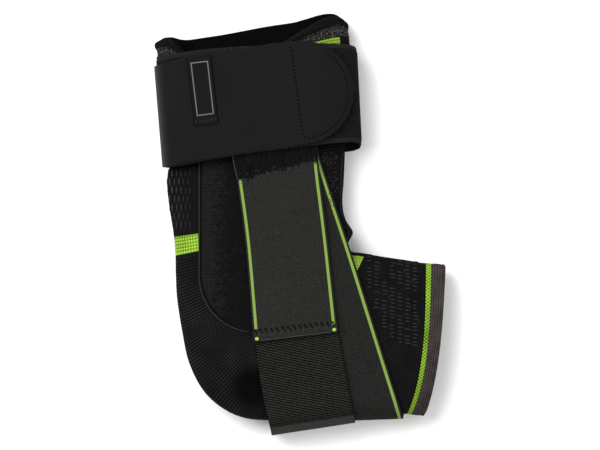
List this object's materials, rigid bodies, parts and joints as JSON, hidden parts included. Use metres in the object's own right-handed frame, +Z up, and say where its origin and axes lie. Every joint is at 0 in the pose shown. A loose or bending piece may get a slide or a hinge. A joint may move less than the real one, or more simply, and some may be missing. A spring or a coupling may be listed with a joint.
{
  "type": "ankle support",
  "caption": "Knitted ankle support laid flat: open calf and toe ends, rounded heel, hook-and-loop calf band and straps folded round the sole.",
  "frame": {"origin": "on the surface it lies on, under the middle of its bounding box", "axes": "+X towards the toes, +Y up the leg towards the calf opening, +Z up from the surface it lies on"},
  "size_m": [0.1684, 0.2448, 0.0419],
  "materials": {
    "black_knit": "ribbed black elastic knit",
    "lime_knit": "lime knit",
    "dark_cuff_knit": "rolled dark knit",
    "grey_cuff_knit": "fine grey rib knit",
    "panel_knit": "fine black knit with a welt",
    "woven_strap": "smooth elastic with lime edge lines",
    "ribbed_elastic": "ribbed elastic webbing",
    "pile": "brushed loop pile",
    "hook_tape": "hook tape",
    "band_laminate": "smooth foam-backed fabric",
    "label_weave": "woven satin label"
  },
  "bodies": {
    "root": {"knit_sleeve": "black_knit", "calf_stripe": "lime_knit", "calf_cuff": "dark_cuff_knit", "toe_stripe": "lime_knit", "toe_cuff": "grey_cuff_knit", "ankle_panel": "panel_knit", "cross_strap": "woven_strap", "sole_webbing": "ribbed_elastic", "side_strap": "woven_strap", "side_strap_pile": "pile", "band_ring": "pile", "hook_tab": "hook_tape", "closing_strap": "band_laminate", "label": "label_weave"}
  },
  "joints": []
}
